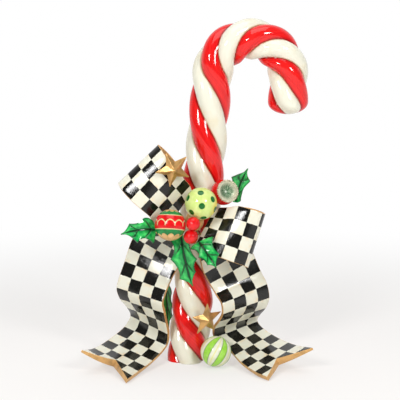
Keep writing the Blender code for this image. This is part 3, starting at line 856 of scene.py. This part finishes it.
def build_reflector():
    """The red ball opened in front, its concave dish and the beads round it."""
    radius = REFLECTOR_BALL[1]
    outer, inner = DISH_RADIUS + DISH_LIP, DISH_RADIUS + GAP
    outline = [(radius * sin(pi * k / 36), -radius * cos(pi * k / 36)) for k in range(26)]
    outline += [(outer, DISH_OFFSET - 2.2), (outer - 0.2, DISH_OFFSET - 0.4), (outer - 0.5, DISH_OFFSET)]
    outline += [(inner, DISH_OFFSET), (inner, DISH_OFFSET - RIM_SEAT)]
    outline += [(inner * t, DISH_OFFSET - RIM_SEAT - (DISH_DEPTH + RIM_SEAT) * (1 - t)) for t in (0.6, 0.3, 0.0)]
    ball = turned("reflector_ball_painted", REFLECTOR_BALL[0], outline, 64, DISH_AXIS)
    finish_piece(ball, [paint_named("red_gloss", red_paint)], ["reflector_ball"], 50)

    back_top = DISH_OFFSET - RIM_SEAT + 1.6 * GAP
    shares = [k / 10 for k in range(10, -1, -1)]
    outline = [(DISH_RADIUS * t, back_top - (DISH_DEPTH + RIM_SEAT) * (1 - t)) for t in (0.0, 0.3, 0.6, 0.985)]
    outline += [(DISH_RADIUS, DISH_OFFSET - 0.4), (DISH_RADIUS, DISH_OFFSET + 0.3)]
    outline += [(DISH_RADIUS - 0.6, DISH_OFFSET + RIM_HEIGHT), (DISH_RADIUS - 1.6, DISH_OFFSET + RIM_HEIGHT)]
    outline += cone_points(DISH_RADIUS - DISH_RIM, DISH_OFFSET - 0.2, DISH_DEPTH - 1.4, shares)
    dish = turned("reflector_dish_painted", REFLECTOR_BALL[0], outline, 96, DISH_AXIS)
    finish_piece(dish, [needle_paint()], ["reflector_dish"], 50)

    turn = Vector((0, 0, 1)).rotation_difference(Vector(DISH_AXIS).normalized())
    bpy.ops.object.select_all(action="DESELECT")
    bpy.ops.mesh.primitive_ico_sphere_add(subdivisions=2, radius=1.25 * MM)
    bead = named_primitive("reflector_beads")
    beads = 30
    copies = []
    for k in range(beads):
        angle = tau * k / beads
        spot = Vector((DISH_RADIUS + 0.35, 0, DISH_OFFSET + RIM_HEIGHT - 0.2))
        spot = Vector((spot.x * cos(angle), spot.x * sin(angle), spot.z))
        copy = bead.copy()
        copy.data = bead.data.copy()
        copy.data.transform(Matrix.Translation(placed(Vector(REFLECTOR_BALL[0]) + turn @ spot)))
        bpy.context.collection.objects.link(copy)
        copies.append(copy)
    bpy.data.objects.remove(bead, do_unlink=True)
    bpy.ops.object.select_all(action="DESELECT")
    for copy in copies:
        copy.select_set(True)
    bpy.context.view_layer.objects.active = copies[0]
    bpy.ops.object.join()
    ring = named_primitive("reflector_beads")
    finish_piece(ring, [silver_paint()], (), 180)


def build_knot():
    """A pinched knot of ribbon behind the ornaments."""
    across, deep, tall = KNOT_SIZE
    bpy.ops.object.select_all(action="DESELECT")
    bpy.ops.mesh.primitive_uv_sphere_add(segments=64, ring_count=32, radius=1.0)
    piece = named_primitive("bow_knot_painted")
    for vertex in piece.data.vertices:
        unit = vertex.co.copy()
        pleat = 1 - 0.07 * (1 + cos(unit.x * 16))
        vertex.co = placed(Vector(KNOT_CENTRE) + Vector(
            (unit.x * across, unit.y * deep * pleat, unit.z * tall * pleat)))
    finish_piece(piece, [paint_named("gold_paint", gold_paint)], ["bow_knot"], 180)


def build_star(node, star):
    """A faceted five-pointed star with a raised middle on both faces."""
    centre, radius, half_thick, first, facing = star
    normal = Vector(facing).normalized()
    side = Vector((0, 0, 1)).cross(normal).normalized()
    upward = normal.cross(side)
    bpy.ops.object.select_all(action="DESELECT")
    bpy.ops.mesh.primitive_cone_add(vertices=10, radius1=1.0, depth=2.0, end_fill_type="TRIFAN")
    piece = named_primitive(node + "_gilded")
    corner = 0
    for vertex in piece.data.vertices:
        if abs(vertex.co.x) + abs(vertex.co.y) < 0.01:
            height = half_thick * (1 if vertex.co.z > 0 else -STAR_BACK)
            vertex.co = placed(Vector(centre) + normal * height)
            continue
        angle = radians(first + 36 * corner)
        reach = radius * (STAR_WAIST if corner % 2 else 1)
        vertex.co = placed(Vector(centre) + (side * cos(angle) + upward * sin(angle)) * reach)
        corner += 1
    close_seams(piece)
    add_modifier(piece, "BEVEL", width=0.35 * MM, segments=2, limit_method="ANGLE",
                 angle_limit=radians(8))
    paint = bpy.data.materials.get("star_gold") or gold_paint("star_gold", 0.75, 0.26)
    finish_piece(piece, [paint], [node], 12)


# ---------------------------------------------------------------- holly

def spiny_edge(spines, share):
    """Half width of a leaf at a share of its length: hollow between sharp spines."""
    stops = [(0.0, 2.5)] + list(spines) + [(1.0, 0.25)]
    for (a, wa), (b, wb) in zip(stops, stops[1:]):
        if share <= b:
            t = (share - a) / (b - a)
            hollow = 0.34 * min(wa, wb) if b < 1.0 else 0.22 * wa
            if a == 0.0:
                hollow = -0.3 * wb
            return wa + (wb - wa) * t - hollow * 4 * t * (1 - t)
    return 0.25


def build_leaf(node, leaf):
    """A creased holly leaf with its spined edge."""
    rib = [Vector(p) for p in leaf["rib"]]
    face = Vector(leaf["face"]).normalized()
    stops = sorted({0.0, 1.0} | {s for s, _ in leaf["left"]} | {s for s, _ in leaf["right"]})
    shares = []
    for a, b in zip(stops, stops[1:]):
        parts = max(2, round((b - a) / 0.02))
        shares += [a + (b - a) * k / parts for k in range(parts)]
    shares.append(1.0)
    half = 8
    rows, uvs = [], []
    for share in shares:
        middle = rib[0] * (1 - share)**2 + rib[1] * 2 * share * (1 - share) + rib[2] * share**2
        along = ((rib[1] - rib[0]) * (1 - share) + (rib[2] - rib[1]) * share).normalized()
        side = along.cross(face).normalized()
        normal = side.cross(along)
        line, marks = [], []
        for c in range(-half, half + 1):
            spines = leaf["left"] if c < 0 else leaf["right"]
            out = c / half
            width = spiny_edge(spines, share) * out
            crease = 0.30 * abs(width) - 0.012 * width * width
            ripple = 0.5 * cos((share * 2.5 - abs(out) * 0.6 + 0.15) * tau) * abs(out) * min(1, 4 * (1 - share))
            line.append(middle + side * width + normal * (crease + ripple))
            marks.append((out, share))
        rows.append(line)
        uvs.append(marks)
    piece, spots = sheet(node + "_painted", rows, uvs)
    group = piece.vertex_groups.new(name="thickness")
    for index, (k, i) in enumerate(spots):
        thin = (0.45 + 0.55 * min(1.0, (1 - shares[k]) * 4)) * (1 - 0.35 * abs(i / half - 1) ** 3)
        group.add([index], thin, "REPLACE")
    add_modifier(piece, "SOLIDIFY", thickness=LEAF_THICK * 0.85 * MM, offset=-1,
                 vertex_group="thickness")
    finish_piece(piece, [paint_named("holly_paint", holly_paint)], [node], 45)


# ---------------------------------------------------------------- operators

class FIGURINE_OT_add_cane(bpy.types.Operator):
    """Build the twisted red and cream cane"""
    bl_idname = "figurine.add_cane"
    bl_label = "Add Cane"

    def execute(self, context):
        build_cane()
        return {"FINISHED"}


class FIGURINE_OT_add_tails(bpy.types.Operator):
    """Build the bow's two ribbon tails"""
    bl_idname = "figurine.add_tails"
    bl_label = "Add Bow Tails"

    def execute(self, context):
        build_ribbon("bow_tail_left_painted", "bow_tail_left", TAIL_LEFT, 0,
                     tail_thickness, swallow_tail)
        build_ribbon("bow_tail_right_painted", "bow_tail_right", TAIL_RIGHT, 0,
                     lambda share, across: tail_thickness(share, 1 - across), swallow_tail)
        return {"FINISHED"}


class FIGURINE_OT_add_loops(bpy.types.Operator):
    """Build the bow's two loops and its knot"""
    bl_idname = "figurine.add_loops"
    bl_label = "Add Bow Loops"

    def execute(self, context):
        build_ribbon("bow_loop_left_painted", "bow_loop_left", LOOP_LEFT, 1, lambda *_: LOOP_THICK)
        build_ribbon("bow_loop_right_painted", "bow_loop_right", LOOP_RIGHT, 1, lambda *_: LOOP_THICK,
                     turn_over=False)
        build_knot()
        return {"FINISHED"}


class FIGURINE_OT_add_balls(bpy.types.Operator):
    """Build the dotted, banded and swirled balls and the berries"""
    bl_idname = "figurine.add_balls"
    bl_label = "Add Balls and Berries"

    def execute(self, context):
        build_ball("dotted_ball_painted", "dotted_ball", DOTTED_BALL, dotted_paint())
        build_ball("banded_ball_painted", "banded_ball", BANDED_BALL, banded_paint())
        build_ball("swirl_ball_painted", "swirl_ball", SWIRL_BALL, swirl_paint())
        for number, berry in enumerate(BERRIES, 1):
            build_ball("berry_%d_painted" % number, "berry_%d" % number, berry,
                       paint_named("red_gloss", red_paint))
        return {"FINISHED"}


class FIGURINE_OT_add_reflector(bpy.types.Operator):
    """Build the red ball with its concave reflector"""
    bl_idname = "figurine.add_reflector"
    bl_label = "Add Reflector Ball"

    def execute(self, context):
        build_reflector()
        return {"FINISHED"}


class FIGURINE_OT_add_stars(bpy.types.Operator):
    """Build the two gold stars"""
    bl_idname = "figurine.add_stars"
    bl_label = "Add Stars"

    def execute(self, context):
        for node, star in STARS.items():
            build_star(node, star)
        return {"FINISHED"}


class FIGURINE_OT_add_leaves(bpy.types.Operator):
    """Build the holly leaves"""
    bl_idname = "figurine.add_leaves"
    bl_label = "Add Holly Leaves"

    def execute(self, context):
        for node, leaf in LEAVES.items():
            build_leaf(node, leaf)
        return {"FINISHED"}


class FIGURINE_OT_add_stage(bpy.types.Operator):
    """Build the floor, the lights and the camera"""
    bl_idname = "figurine.add_stage"
    bl_label = "Add Stage"

    def execute(self, context):
        build_floor()
        build_light()
        build_camera()
        return {"FINISHED"}


class FIGURINE_PT_pieces(bpy.types.Panel):
    """Buttons that build the figurine piece by piece"""
    bl_idname = "FIGURINE_PT_pieces"
    bl_label = "Candy Cane Figurine"
    bl_space_type = "VIEW_3D"
    bl_region_type = "UI"
    bl_category = "Figurine"

    def draw(self, context):
        for name in settings().bl_rna.properties.keys():
            if name not in ("rna_type", "name"):
                self.layout.prop(settings(), name)
        for operator in OPERATORS:
            self.layout.operator(operator.bl_idname)


# ---------------------------------------------------------------- stage

def build_floor():
    """A wide white floor that keeps a soft shadow near the figurine."""
    bpy.ops.object.select_all(action="DESELECT")
    bpy.ops.mesh.primitive_plane_add(size=60.0, location=(0, 0, -0.0002))
    floor = named_primitive("studio_floor")
    made, wire = new_paint("studio_white")
    made.node_tree.nodes.remove(made.node_tree.nodes["Principled BSDF"])
    x, y, _ = object_place(wire).parts()
    far = (x * x + y * y).power(0.5).rise(0.25, 0.9)
    ray = wire.node("LightPath", out="Is Camera Ray")
    seen = ray.most(ray.also("Is Glossy Ray")).most(ray.also("Is Transmission Ray"))
    paper = wire.node("BsdfDiffuse", None, {"Color": (0.86, 0.83, 0.80, 1.0)})
    glow = wire.node("Emission", None, {"Color": (1.0, 1.0, 1.0, 1.0), "Strength": 1.0})
    share = seen * (0.5 + far * 0.5)
    shown = wire.node("MixShader", None, {0: share, 1: paper, 2: glow})
    output = made.node_tree.nodes["Material Output"]
    wire.feed(output.inputs["Surface"], shown)
    floor.data.materials.append(made)


def add_lamp(name, azimuth, elevation, distance, size, power):
    """A square soft lamp that faces the figurine."""
    target = Vector((0, 0, 0.18))
    turn, lift = radians(azimuth), radians(elevation)
    away = Vector((sin(turn) * cos(lift), -cos(turn) * cos(lift), sin(lift)))
    lamp = bpy.data.lights.new(name, "AREA")
    lamp.shape = "SQUARE"
    lamp.size = size
    lamp.energy = power
    thing = bpy.data.objects.new(name, lamp)
    thing.location = target + away * distance
    thing.rotation_mode = "QUATERNION"
    thing.rotation_quaternion = away.to_track_quat("Z", "Y")
    bpy.context.collection.objects.link(thing)


def build_light():
    """Two soft front lamps, one overhead and a studio that is white behind and dim in front."""
    add_lamp("lamp_left", -30, 26, 1.6, 0.34, 12.5)
    add_lamp("lamp_right", 38, 26, 1.6, 0.34, 10.5)
    add_lamp("lamp_top", 0, 80, 1.6, 1.2, 9.0)
    world = bpy.data.worlds.new("studio")
    world.use_nodes = True
    bpy.context.scene.world = world
    wire = Wire(world.node_tree)
    sky = world.node_tree.nodes["Background"]
    ray = wire.node("LightPath", out="Is Camera Ray")
    _, depth, _ = wire.node("TexCoord", out="Generated").parts()
    studio = depth.rise(-0.2, 0.7) * 0.8 + 0.14
    wire.feed(sky.inputs["Color"], (1.0, 1.0, 1.0, 1.0))
    wire.feed(sky.inputs["Strength"], studio.most(ray))


def build_camera():
    """A long lens a little above the middle of the figurine."""
    target = Vector((0.0141, 0, 0.1812)) + SHIFT
    lift = radians(9.0)
    away = Vector((0, -cos(lift), sin(lift)))
    eye = bpy.data.cameras.new("camera")
    eye.lens = 106.0
    eye.sensor_width = 36.0
    thing = bpy.data.objects.new("camera", eye)
    thing.location = target + away * 1.3
    thing.rotation_mode = "QUATERNION"
    thing.rotation_quaternion = away.to_track_quat("Z", "Y")
    bpy.context.collection.objects.link(thing)
    bpy.context.scene.camera = thing


OPERATORS = (
    FIGURINE_OT_add_cane, FIGURINE_OT_add_tails, FIGURINE_OT_add_loops, FIGURINE_OT_add_balls,
    FIGURINE_OT_add_reflector, FIGURINE_OT_add_stars, FIGURINE_OT_add_leaves, FIGURINE_OT_add_stage,
)
CLASSES = (FigurineSettings,) + OPERATORS + (FIGURINE_PT_pieces,)


def register():
    for item in CLASSES:
        bpy.utils.register_class(item)
    bpy.types.Scene.figurine = bpy.props.PointerProperty(type=FigurineSettings)


def unregister():
    del bpy.types.Scene.figurine
    for item in reversed(CLASSES):
        bpy.utils.unregister_class(item)


def main():
    register()
    bpy.context.scene.view_settings.view_transform = "Standard"
    bpy.ops.figurine.add_cane()
    bpy.ops.figurine.add_tails()
    bpy.ops.figurine.add_loops()
    bpy.ops.figurine.add_balls()
    bpy.ops.figurine.add_reflector()
    bpy.ops.figurine.add_stars()
    bpy.ops.figurine.add_leaves()
    bpy.ops.figurine.add_stage()
    bpy.context.view_layer.update()


if __name__ == "__main__":
    main()
